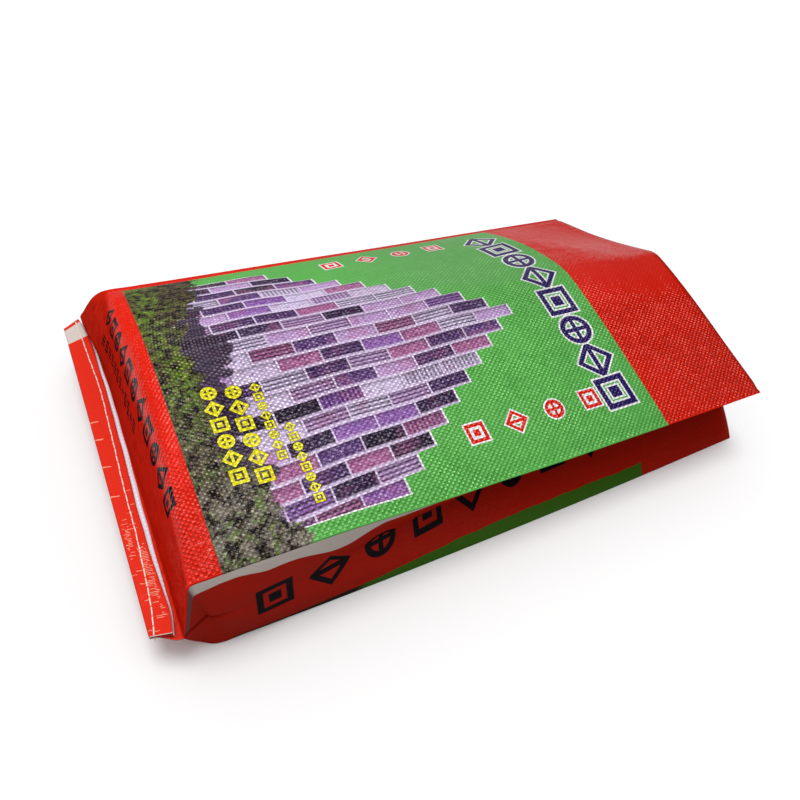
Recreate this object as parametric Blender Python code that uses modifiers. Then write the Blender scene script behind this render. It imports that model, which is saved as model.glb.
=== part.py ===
"""An empty side-gusseted sack of woven polypropylene, lying on its back panel with its mouth propped open.

The sack is one flat tube of fabric: a front panel (on top here), a back panel (on the floor) and two
gussets between them. At -X the tube is pressed flat, folded over once towards the front as a hem and
closed by one line of chain stitch. At +X it is cut straight and left open. X runs from the sewn end
to the mouth, Y across the panels and Z up, and the origin is the middle of the floor under it.
"""

import math

import bmesh
import bpy
import numpy as np

# Driving dimensions, in metres
LYING_LENGTH = 0.679  # from the fold of the hem to the mouth's lower edge
PANEL_WIDTH = 0.400  # front and back panels, laid flat
GUSSET_WIDTH = 0.102  # each gusset, laid flat
WALL = 0.0004  # woven tape with its printed film
HEM_WIDTH = 0.025  # from the seam to the fold
FLAP_WIDTH = 0.021  # the part of the hem that lies folded over
SEAM_HEIGHT = 0.035  # of the middle of the flattened tube at the seam
CREASE_HEIGHT_SEWN = 0.096  # front panel's side creases, just past the sewn end
CREASE_HEIGHT_MOUTH = 0.080
CROWN_HEIGHT = 0.137  # middle of the front panel
CREASE_LEAN = 0.0075  # how far the upper creases stand inside the lower ones
MOUTH_SETBACK = 0.006  # upper mouth edge behind the lower one

# How the end rises from the seam
CREASE_RUN = 0.012  # the crease goes this far along X while it climbs
CROWN_RUN = 0.024
FLOOR_RUN = 0.012
CREASE_BEND = 0.006
CROWN_BEND = 0.030
FLOOR_BEND = 0.009
SEAM_BEND = 0.0012
OPEN_RUN = 0.062  # past this distance from the seam the tube is fully open
GUSSET_PUSH = 0.020  # how far the gusset's middle runs ahead into the sack there

# Folded layers
LAYER_PITCH = 0.0006  # between two layers that lie on each other
FOLD_RADIUS = 0.0003  # of a crease that is pressed flat
OPEN_RADIUS = 0.0012  # of a crease that stands open
OPEN_RADIUS_RUN = 0.026  # length of crease over which it opens
HEM_RADIUS = 0.0012  # of the stack's middle round the hem's fold
CROWN_POWER = 1.3  # 1 is a tent, 2 a parabola

THREAD_RADIUS = 0.0005
THREAD_GAP = 0.0003
THREAD_INSET = 0.012  # from the fold of the hem

FOLD_X = -LYING_LENGTH / 2
SEAM_X = FOLD_X + HEM_WIDTH
MOUTH_X = LYING_LENGTH / 2
LEAD = 0.004  # flat length kept before the seam
STACK_REACH = 1.5 * LAYER_PITCH  # outer layers, from the middle of the stack
SEAM_ZONE = (0.0, 0.0028, 0.0040, 0.0052, 0.0080)
END_STEPS = (0.14, 0.28, 0.37, 0.46, 0.54, 0.62, 0.72, 0.85, 1.0)
BODY_STEPS = (0.12, 0.33, 0.60, 1.0)
PANEL_STEPS = (0.0, 0.10, 0.22, 0.38, 0.58, 0.80)
HEM_TURNS = 6
CREASE_TURNS = 4
DENSE = 24  # points in one bend of a track


def rounded(corners, radii):
    """A dense polyline in X and Z through the corners, each inner corner turned on an arc of its radius."""
    corners = [np.array(corner, float) for corner in corners]
    points = [corners[0]]
    for before, corner, after, radius in zip(corners, corners[1:], corners[2:], radii):
        arriving = (corner - before) / np.linalg.norm(corner - before)
        leaving = (after - corner) / np.linalg.norm(after - corner)
        turn = math.acos(float(np.clip(arriving @ leaving, -1, 1)))
        side = np.sign(arriving[0] * leaving[1] - arriving[1] * leaving[0])
        start = corner - arriving * radius * math.tan(turn / 2)
        normal = np.array([-arriving[1], arriving[0]]) * side
        centre = start + normal * radius
        for angle in np.linspace(0, turn, DENSE):
            points.append(centre - normal * radius * math.cos(angle) + arriving * radius * math.sin(angle))
    points.append(corners[-1])
    return np.array(points)


class Track:
    """One line along the sack, in X and Z, read by its length from the start."""

    def __init__(self, offset, corners, bends):
        level = SEAM_HEIGHT + offset
        start = [(SEAM_X - LEAD, level), (SEAM_X, level)]
        self.points = rounded(start + corners, bends)
        steps = np.linalg.norm(np.diff(self.points, axis=0), axis=1)
        self.lengths = np.concatenate([[0], np.cumsum(steps)])
        opening = np.argmax(self.points[:, 0] >= SEAM_X + OPEN_RUN - 1e-9)
        ahead = SEAM_X + OPEN_RUN - self.points[opening - 1, 0]
        self.opening = self.lengths[opening - 1] + ahead
        self.whole = self.lengths[-1]

    def at(self, length):
        """Position and unit tangent there."""
        reach = 0.0004
        place = np.array([np.interp(length, self.lengths, self.points[:, k]) for k in (0, 1)])
        ends = [
            np.array([np.interp(length + step, self.lengths, self.points[:, k]) for k in (0, 1)])
            for step in (-reach, reach)
        ]
        along = ends[1] - ends[0]
        return place, along / np.linalg.norm(along)

    def stations(self):
        """Lengths of the rings: through the seam, up the end, and along the body."""
        climb = [SEAM_ZONE[-1] + step * (self.opening - SEAM_ZONE[-1]) for step in END_STEPS]
        body = [self.opening + step * (self.whole - self.opening) for step in BODY_STEPS]
        return list(SEAM_ZONE) + climb + body


def left_of(along):
    return np.array([-along[1], along[0]])


def smooth(value):
    value = min(max(value, 0.0), 1.0)
    return value * value * (3 - 2 * value)


def in_space(place, sideways):
    return np.array([place[0], sideways, place[1]])


def half_ring(front, crease, gusset, foot, back, crease_y, foot_y, gusset_y, radius):
    """Half a cross section, from the middle of the front panel round to the middle of the back one.

    front, crease, gusset, foot and back are (place, unit normal) in X and Z. The fold at the crease
    and at the foot turns about its place, and the gusset's middle fold turns the other way.
    """
    crease_centre = in_space(crease[0], crease_y)
    foot_centre = in_space(foot[0], foot_y)
    gusset_centre = in_space(gusset[0], gusset_y)
    across = np.array([0.0, 1.0, 0.0])

    def arc(centre, normal, start, stop, sign):
        up = in_space(normal, 0.0)
        angles = np.linspace(start, stop, CREASE_TURNS + 1)
        return [centre + sign * radius * (math.cos(a) * across + math.sin(a) * up) for a in angles]

    def facing(travel, normal):
        """Angle of the outward side of a layer that runs along travel, in the plane of Y and the normal."""
        up = in_space(normal, 0.0)
        return math.atan2(travel @ across, -(travel @ up))

    slope = CROWN_POWER * ((front[0] - crease[0]) @ crease[1]) / crease_y
    inward = gusset_centre - crease_centre
    outward = foot_centre - gusset_centre
    top = arc(crease_centre, crease[1], math.pi / 2 - math.atan(slope), facing(inward, crease[1]), 1)
    middle = arc(gusset_centre, gusset[1], facing(inward, gusset[1]), facing(outward, gusset[1]), -1)
    low = arc(foot_centre, foot[1], facing(outward, foot[1]), -math.pi / 2, 1)

    ring = []
    for step in PANEL_STEPS:
        rise = 1 - step**CROWN_POWER
        edge = top[0]
        point = edge + (in_space(front[0], 0.0) - edge) * rise
        point[1] = step * edge[1]
        ring.append(point)
    ring += top
    ring.append((top[-1] + middle[0]) / 2)
    ring += middle
    ring.append((middle[-1] + low[0]) / 2)
    ring += low
    ring.append(in_space(back[0], low[-1][1] / 2))
    ring.append(in_space(back[0], 0.0))
    return ring


def hem_rings():
    """The flat stack from its cut edge, round the fold and back to just before the seam."""
    turn_x = FOLD_X + HEM_RADIUS + STACK_REACH + WALL / 2
    low, high = SEAM_HEIGHT, SEAM_HEIGHT + 2 * HEM_RADIUS
    cut_x = FOLD_X + FLAP_WIDTH
    run = [((cut_x, high), (-1, 0)), (((cut_x + turn_x) / 2, high), (-1, 0))]
    for angle in np.linspace(math.pi / 2, 3 * math.pi / 2, HEM_TURNS + 1):
        direction = (math.cos(angle), math.sin(angle))
        place = (turn_x + HEM_RADIUS * direction[0], SEAM_HEIGHT + HEM_RADIUS + HEM_RADIUS * direction[1])
        run.append((place, (-direction[1], direction[0])))
    run.append((((SEAM_X - LEAD + turn_x) / 2, low), (1, 0)))

    rings = []
    inner_y = PANEL_WIDTH / 2 - GUSSET_WIDTH / 2
    for place, along in run:
        place = np.array(place)
        normal = left_of(np.array(along, float))
        layers = [(place + offset * normal, normal) for offset in stack_offsets()]
        rings.append(half_ring(*layers, *[PANEL_WIDTH / 2] * 2, inner_y, FOLD_RADIUS))
    return rings


def stack_offsets():
    """Front layer, front crease, gusset fold, back crease and back layer of the flat stack."""
    return STACK_REACH, LAYER_PITCH, 0.0, -LAYER_PITCH, -STACK_REACH


def body_rings():
    """From the seam, where the layers part, up the end and along to the mouth."""
    front_offset, crease_offset, _, foot_offset, back_offset = stack_offsets()
    foot_level = OPEN_RADIUS + WALL / 2
    floor_x = SEAM_X + FLOOR_RUN
    front = Track(
        front_offset,
        [(SEAM_X + CROWN_RUN, CROWN_HEIGHT), (MOUTH_X - MOUTH_SETBACK, CROWN_HEIGHT)],
        [SEAM_BEND, CROWN_BEND],
    )
    crease = Track(
        crease_offset,
        [
            (SEAM_X + CREASE_RUN, CREASE_HEIGHT_SEWN - OPEN_RADIUS),
            (MOUTH_X - MOUTH_SETBACK, CREASE_HEIGHT_MOUTH - OPEN_RADIUS),
        ],
        [SEAM_BEND + FOLD_RADIUS, CREASE_BEND],
    )
    foot = Track(
        foot_offset,
        [(floor_x, foot_level), (MOUTH_X, foot_level)],
        [SEAM_BEND + FOLD_RADIUS, FLOOR_BEND],
    )
    back = Track(back_offset, [(floor_x, WALL / 2), (MOUTH_X, WALL / 2)], [SEAM_BEND, FLOOR_BEND])

    rings = []
    for lengths in zip(*[track.stations() for track in (front, crease, foot, back)]):
        lines = [track.at(length) for track, length in zip((front, crease, foot, back), lengths)]
        front_line, crease_line, foot_line, back_line = [(place, left_of(along)) for place, along in lines]
        climbed = (lengths[1] - LEAD) / (crease.opening - LEAD)
        radius = FOLD_RADIUS + (OPEN_RADIUS - FOLD_RADIUS) * smooth((lengths[1] - LEAD) / OPEN_RADIUS_RUN)
        crease_y = PANEL_WIDTH / 2 - CREASE_LEAN * smooth(climbed)
        foot_y = PANEL_WIDTH / 2

        middle = (crease_line[0] + foot_line[0]) / 2
        spread = np.linalg.norm(crease_line[0] - foot_line[0]) / 2
        depth = math.sqrt((GUSSET_WIDTH / 2) ** 2 - spread**2)
        ahead = GUSSET_PUSH * math.sin(math.pi * min(max(climbed, 0.0), 1.0) ** 0.6)
        gusset_y = (crease_y + foot_y) / 2 - math.sqrt(depth**2 - ahead**2)
        gusset_line = (middle + np.array([ahead, 0.0]), np.array([0.0, 1.0]))
        lines = (front_line, crease_line, gusset_line, foot_line, back_line)
        rings.append(half_ring(*lines, crease_y, foot_y, gusset_y, radius))
    return rings


def material(name, colour, roughness):
    made = bpy.data.materials.new(name)
    made.use_nodes = True
    shader = made.node_tree.nodes["Principled BSDF"]
    shader.inputs["Base Color"].default_value = (*colour, 1.0)
    shader.inputs["Roughness"].default_value = roughness
    shader.inputs["Metallic"].default_value = 0.0
    return made


def build_sack(collection):
    """The woven tube: half of it is lofted through its rings, mirrored, and given the fabric's thickness."""
    rings = hem_rings() + body_rings()
    shape = bmesh.new()
    rows = [[shape.verts.new(point) for point in ring] for ring in rings]
    for row, following in zip(rows, rows[1:]):
        for k in range(len(row) - 1):
            shape.faces.new((row[k], following[k], following[k + 1], row[k + 1]))
    mesh = bpy.data.meshes.new("sack")
    shape.to_mesh(mesh)
    shape.free()
    sack = bpy.data.objects.new("sack", mesh)
    collection.objects.link(sack)
    mirror = sack.modifiers.new("far half", "MIRROR")
    mirror.use_axis = (False, True, False)
    mirror.merge_threshold = 0.0001
    wall = sack.modifiers.new("fabric", "SOLIDIFY")
    wall.thickness = WALL
    wall.offset = 0.0
    wall.use_even_offset = True
    mesh.materials.append(material("printed_film", (0.60, 0.03, 0.015), 0.35))
    return sack


def build_thread(collection, name, height):
    """A line of sewing thread across the hem, on one of its faces."""
    curve = bpy.data.curves.new(name, "CURVE")
    curve.dimensions = "3D"
    curve.bevel_depth = THREAD_RADIUS
    curve.bevel_resolution = 2
    curve.use_fill_caps = True
    line = curve.splines.new("POLY")
    line.points.add(1)
    for point, side in zip(line.points, (-1, 1)):
        point.co = (FOLD_X + THREAD_INSET, side * (PANEL_WIDTH / 2 - WALL), height, 1.0)
    curve.materials.append(material(name + "_cotton", (0.75, 0.73, 0.68), 0.8))
    thread = bpy.data.objects.new(name, curve)
    collection.objects.link(thread)
    return thread


def main():
    for old in list(bpy.data.objects):
        bpy.data.objects.remove(old, do_unlink=True)
    collection = bpy.data.collections.new("woven_sack")
    bpy.context.scene.collection.children.link(collection)
    build_sack(collection)
    clear = STACK_REACH + WALL / 2 + THREAD_GAP + THREAD_RADIUS
    build_thread(collection, "needle_thread", SEAM_HEIGHT + 2 * HEM_RADIUS + clear)
    build_thread(collection, "looper_thread", SEAM_HEIGHT - clear)


main()
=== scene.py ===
import math

import bpy
import numpy as np
from mathutils import Matrix, Vector


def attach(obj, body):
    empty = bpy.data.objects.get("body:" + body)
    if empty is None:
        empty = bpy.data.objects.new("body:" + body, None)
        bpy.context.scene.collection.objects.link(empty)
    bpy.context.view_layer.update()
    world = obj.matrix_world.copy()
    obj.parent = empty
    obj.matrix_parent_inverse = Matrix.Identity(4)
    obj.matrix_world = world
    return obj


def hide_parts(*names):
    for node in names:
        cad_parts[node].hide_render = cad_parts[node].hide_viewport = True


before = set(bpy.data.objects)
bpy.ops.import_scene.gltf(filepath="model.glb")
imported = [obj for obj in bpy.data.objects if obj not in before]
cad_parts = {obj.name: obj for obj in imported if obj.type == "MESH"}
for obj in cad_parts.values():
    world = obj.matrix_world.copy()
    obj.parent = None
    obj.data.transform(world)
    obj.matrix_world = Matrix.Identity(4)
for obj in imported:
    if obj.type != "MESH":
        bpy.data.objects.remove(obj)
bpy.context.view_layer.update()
print("frame loaded:", len(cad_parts), "nodes")

# The camera stands at the sewn end's near corner, looking down along the sack towards its mouth.
shot = {
    "place": (-0.3204, -0.4742, 0.5829),
    "ahead": (0.3806, 0.5885, -0.7133),
    "tilt": 8.83,  # degrees, clockwise roll
    "lens": 30.9,
    "sensor": 36.0,
}


# level = ahead x up; the roll turns level and the true up about the view line
def makeCamera():
    ahead = Vector(shot["ahead"]).normalized()
    level = ahead.cross(Vector((0, 0, 1))).normalized()
    over = level.cross(ahead)
    roll = math.radians(shot["tilt"])
    right = level * math.cos(roll) + over * math.sin(roll)
    top = over * math.cos(roll) - level * math.sin(roll)
    data = bpy.data.cameras.new("photoCamera")
    data.lens = shot["lens"]
    data.sensor_width = shot["sensor"]
    data.clip_start = 0.01
    camera = bpy.data.objects.new("photoCamera", data)
    turn = Matrix((right, top, -ahead)).transposed().to_4x4()
    camera.matrix_world = Matrix.Translation(Vector(shot["place"])) @ turn
    bpy.context.scene.collection.objects.link(camera)
    bpy.context.scene.camera = camera


makeCamera()
print("camera placed")


# 0 up to low, 1 from high on, 3t^2 - 2t^3 between
def ease(value, low=0.0, high=1.0):
    t = np.clip((value - low) / (high - low), 0.0, 1.0)
    return t * t * (3.0 - 2.0 * t)


# Shares from 0 to 1: a part "crowd" of them is (1 - cos(pi t)) / 2, close together at both ends
def crowded(count, crowd):
    even = np.linspace(0, 1, count)
    return crowd * (0.5 - 0.5 * np.cos(math.pi * even)) + (1 - crowd) * even


# k ln(1 + e^(s/k)): nearly 0 before s = 0 and nearly s after it, a bend of softness k
def bend(s, k):
    return k * np.logaddexp(0.0, s / k)


# Catmull-Rom curve through knots (place, value, value, ...), read at any array of places
def through(knots, places):
    knots = np.array(knots, float)
    at, values = knots[:, 0], knots[:, 1:]
    slopes = np.gradient(values, at, axis=0)
    places = np.clip(places, at[0], at[-1])
    k = np.clip(np.searchsorted(at, places, side="right") - 1, 0, len(at) - 2)
    step = (at[k + 1] - at[k])[..., None]
    t = (places[..., None] - at[k][..., None]) / step
    rise = 3 * t**2 - 2 * t**3
    lean = slopes[k] * (t - 2 * t**2 + t**3) + slopes[k + 1] * (t**3 - t**2)
    found = values[k] * (1 - rise) + values[k + 1] * rise + lean * step
    return found[..., 0] if values.shape[1] == 1 else found


# The unrolled tube, going round: front panel 0 to 0.4, far gusset, back panel, near gusset.
# "run" is metres past the sewn end's top corner, "across" metres from the near top crease.
sack = {
    "panel": 0.400,
    "gusset": 0.102,
    "cloth": 0.00024,
    "pitch": 0.0005,  # between layers that are pressed flat
    "corner": (-0.3025, -0.1925, 0.0),  # of run = 0, across = 0, in the frame
    "seamRun": -0.012,
    "seamZ": 0.035,
    "seamNear": -0.0075,  # across, of the seam's near end
    "seamFlat": 0.0012,  # cloth that leaves the seam straight, and the softness of its bend there
    "seamSoft": 0.0003,
    "farSeamLift": 0.010,
    "farWidth": 0.385,  # across, of the far gusset's place for the near one's 0
    "crownZ": 0.137,
    "crownShare": 0.53,  # of the width, from the near crease
    "crownSpread": 0.018,  # widths between the neighbours whose mean softens the crown
    "sidePowers": (1.2, 1.6, -0.62),  # how fully the near and the far side rise, and the latter's gain
    "farSag": 0.05,
    # slow waves of the front panel: (depth, radians a metre along, radians a width, shift)
    "waves": [(0.0008, 33, 3, 1.2), (0.0006, 57, -9, 0)],
    "waveLow": 0.0009,
    "edgeBow": (0.010, 0.008),  # how far the end's top edge bows in, at its middle and its far corner
    "edgeSoft": (0.0016, 0.008),  # softness of that edge at its corners, and what its middle adds
    "footSoft": (0.0062, -0.003),  # and of the end's edge on the floor
    "clothLength": 0.700,  # seam to mouth
    "cornerCloth": 0.064,  # from the seam up to the sewn end's top corner
    "mouthRun": 0.636,
    "mouthFootRun": 0.642,
    "hemTurnRun": -0.03495,  # centre of the hem's U-turn
    "hemRadius": 0.0011,
    "hemSlide": ((0.0105, -0.0125), (0.0045, 0.0005)),  # a + b w to the far side: its fold, its cut edge
    "hemSkew": (0.001, -0.004),  # a + b w along the sack
    "hemClimb": 0.003,  # at the far end, and how far the cut edge opens at the near one
    "hemOpen": 0.0042,
    "hemRipple": 0.0004,
    "cutFray": 0.0003,
    # creases: the gap between a crease's layers, how far its inner layer starts outside the edge, the
    # Bezier handles pressed flat and open, and the cloth round the tube of crease, half and middle fold
    "foldGap": 0.0012,
    "foldOut": 0.0006,
    "foldReach": (0.0013, 0.0007),
    "gussetCloth": (0.0015, 0.049, 0.001),
    # (width share, run) of the cut edges on the flap: its top layer's, and the longest one's
    "cutTop": [(0, -0.0178), (0.05, -0.0155), (0.1, -0.0158), (0.17, -0.0172), (0.31, -0.0178),
               (0.46, -0.0165), (0.63, -0.0155), (0.79, -0.0155), (0.92, -0.0170), (1, -0.0225)],
    "cutLong": [(0, -0.0170), (0.05, -0.0143), (0.1, -0.0138), (0.17, -0.0138), (0.31, -0.0132),
                (0.46, -0.0122), (0.63, -0.0115), (0.79, -0.0125), (0.92, -0.0152), (1, -0.0215)],
    # (run, height) of the two upper creases
    "nearCrease": [(-0.012, 0.101), (0, 0.099), (0.025, 0.099), (0.091, 0.097), (0.135, 0.096),
                   (0.222, 0.091), (0.287, 0.089), (0.357, 0.086), (0.433, 0.085), (0.5, 0.084),
                   (0.636, 0.084)],
    "farCrease": [(-0.012, 0.092), (0, 0.093), (0.013, 0.095), (0.037, 0.0945), (0.15, 0.091),
                  (0.35, 0.083), (0.5, 0.078), (0.636, 0.073)],
    # (metres of cloth past the seam, outwards) of the far corner's belly
    "belly": [(0, 0), (0.008, 0.009), (0.016, 0.0146), (0.0268, 0.0132), (0.0375, 0.011), (0.046, 0.008),
              (0.0525, 0.0037), (0.062, 0)],
    # (run, across) of the creases, seen from above
    "nearTop": [(-0.012, -0.0075), (-0.006, -0.00375), (-0.0006, -0.0004), (0.0012, 0.0001), (0.02, 0.0005),
                (0.3, 0), (0.636, -0.002)],
    "farTop": [(-0.012, 0.3925), (0, 0.3855), (0.02, 0.385), (0.3, 0.386), (0.636, 0.388)],
    "nearFoot": [(-0.012, -0.0075), (0, -0.001), (0.012, -0.005), (0.04, -0.0062), (0.089, -0.007),
                 (0.305, -0.007), (0.494, -0.004), (0.642, 0)],
    "farFoot": [(-0.012, 0.3925), (0, 0.387), (0.012, 0.390), (0.04, 0.3915), (0.3, 0.392), (0.642, 0.389)],
    # (metres of cloth past the seam, run, across, height) of the near gusset's middle fold
    "innerFold": [(0, -0.012, 0.0425, 0.035), (0.012, -0.001, 0.040, 0.037), (0.03, 0.009, 0.024, 0.040),
                  (0.045, 0.011, 0.010, 0.0435), (0.058, 0.012, 0.0002, 0.0465),
                  (0.070, 0.017, -0.0045, 0.047), (0.09, 0.030, -0.0072, 0.048),
                  (0.14, 0.076, -0.004, 0.048), (0.264, 0.200, 0.012, 0.052), (0.364, 0.300, 0.026, 0.053),
                  (0.464, 0.400, 0.032, 0.050), (0.564, 0.500, 0.033, 0.046), (0.70, 0.638, 0.034, 0.040)],
    "dartTip": (0.011, -0.0022, 0.047),  # where the end's diagonal crease runs out
    "dartCloth": 0.058,
    # bends of a gusset's upper and lower half: share of the way to the crease, metres outwards
    "halfBends": [(0.5, 0.002), (0.72, 0.004)],
    "halfSoft": (0.0008, 0.016),  # softness of those bends in the dart, and what they gain past it
    "foldSplit": 0.0003,  # half the gap between the halves at the middle fold, once they part
}


# How far the sewn end's far corner stands above the near one: its lift times w^3
def seamLift(w):
    return sack["farSeamLift"] * np.clip(w, 0, 1) ** 3


# Share of the seam's width at a place across it
def seamShare(across):
    return (across - sack["seamNear"]) / sack["panel"]


# Metres of cloth past each of a panel's two bends: the one out of the seam and the one after its slope
def twoBends(v, slope, soft):
    past = v - sack["seamFlat"]
    return bend(past, sack["seamSoft"]), bend(past - slope, soft)


# Height of the front panel: each side rises from its crease h to the crown c as
# h + (c - h)(1 - (1 - t)^p), t the share of the way up, as the mean of three neighbours, which softens the
# crown; the far side straightens towards the mouth, and two slow waves sag along the whole
def topHeight(run, w):
    middle, spread = sack["crownShare"], sack["crownSpread"]
    nearPower, farPower, gain = sack["sidePowers"]
    near = through(sack["nearCrease"], run)
    far = through(sack["farCrease"], run)
    total = 0.0
    for aside in (-spread, 0.0, spread):
        share = np.clip(w + aside, 0.0, 1.0)
        up = np.clip(share / middle, 0, 1)
        down = np.clip((1 - share) / (1 - middle), 0, 1)
        power = farPower + gain * ease(run, 0.49, 0.63)
        sag = sack["farSag"] * np.sin(math.pi * down) * ease(run, 0.52, 0.63)
        nearSide = near + (sack["crownZ"] - near) * (1 - (1 - up) ** nearPower)
        farSide = far + (sack["crownZ"] - far) * (1 - (1 - down) ** power - sag)
        total = total + np.where(share < middle, nearSide, farSide) / 3
    edge = np.minimum(w, 1 - w)
    exact = np.where(w < 0.5, near, far)
    total = total + (exact - total) * (1 - ease(edge, 0.0, 0.03))
    slow = sum(depth * np.sin(a * run + b * w + shift) for depth, a, b, shift in sack["waves"])
    return total + (slow - sack["waveLow"]) * ease(edge, 0.0, 0.2) * ease(run, 0.02, 0.12)


# Front panel at v metres of cloth from the seam and width share w: a straight run out of the seam,
# a bend up the slope to the end's edge, and a bend onto the top, each bend a soft corner
def frontPanel(v, w):
    crown = np.sin(math.pi * np.clip(w, 0, 1))
    far = ease(w, 0.7, 1.0) ** 1.5
    seamZ = sack["seamZ"] + seamLift(w) + 1.5 * sack["pitch"]
    bow, farBow = sack["edgeBow"]
    edgeRun = bow * crown**0.7 + farBow * far
    edgeZ = topHeight(edgeRun + 0 * v, w)
    start = sack["seamRun"] + sack["seamFlat"]
    slope = np.hypot(edgeRun - start, edgeZ - seamZ)
    ahead = (edgeRun - start) / slope
    rise = (edgeZ - seamZ) / slope
    sharp, softer = sack["edgeSoft"]
    first, second = twoBends(v, slope, sharp + softer * crown**0.85)
    run = sack["seamRun"] + v - (1 - ahead) * (first - second)
    late = sack["mouthRun"] - (edgeRun + sack["clothLength"] - sack["seamFlat"] - slope)
    run = run + late * ease(v, 0.12, 0.36)
    height = seamZ + rise * (first - second) + topHeight(np.maximum(run, edgeRun), w) - edgeZ
    nearAt = through(sack["nearTop"], run)
    across = nearAt + (through(sack["farTop"], run) - nearAt) * w
    belly = through(sack["belly"], v) * far
    return np.stack([run - belly, across + 0.3 * belly, height], axis=-1)


# Back panel, the same way: down the short end and along the floor
def backPanel(v, w):
    crown = np.sin(math.pi * np.clip(w, 0, 1))
    seamZ = sack["seamZ"] + seamLift(w) - 1.5 * sack["pitch"]
    floorZ = sack["cloth"] / 2 + 0.00005
    start = sack["seamRun"] + sack["seamFlat"]
    slope = np.hypot(start, seamZ - floorZ)
    soft, softer = sack["footSoft"]
    first, second = twoBends(v, slope, soft + softer * crown)
    ahead = -start / slope
    run = sack["seamRun"] + v - (1 - ahead) * (first - second)
    late = sack["mouthFootRun"] - (sack["clothLength"] - sack["seamFlat"] - slope)
    run = run + late * ease(v, 0.08, 0.5)
    height = seamZ - (seamZ - floorZ) / slope * (first - second)
    near = through(sack["nearFoot"], run)
    far = through(sack["farFoot"], run)
    return np.stack([run, near + (far - near) * w, height], axis=-1)


# Each vector over its own length
def unit(vectors):
    return vectors / np.maximum(np.linalg.norm(vectors, axis=-1, keepdims=True), 1e-12)


# Cubic Bezier from one sheet's edge to the next, both handles h long, leaving along outA and outB
def foldOver(start, outA, stop, outB, h, t):
    start, outA, stop, outB, h = (part[:, None] for part in (start, outA, stop, outB, h))
    a, b = start + outA * h, stop + outB * h
    t = t[None, :, None]
    s = 1 - t
    return s**3 * start + 3 * s**2 * t * a + 3 * s * t**2 * b + t**3 * stop


# A strip from start to stop that turns at the corner with softness k, its ends exact
def softStrip(start, corner, stop, k, t):
    start, corner, stop, k = (part[:, None] for part in (start, corner, stop, k))
    first = np.linalg.norm(corner - start, axis=-1, keepdims=True)
    second = np.linalg.norm(stop - corner, axis=-1, keepdims=True)
    a, b = unit(corner - start), unit(stop - corner)
    t = t[None, :, None]

    def bare(share):
        s = share * (first + second)
        return start + a * s + (b - a) * bend(s - first, k)

    return bare(t) + (start - bare(0 * t)) * (1 - t) + (stop - bare(0 * t + 1)) * t


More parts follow.
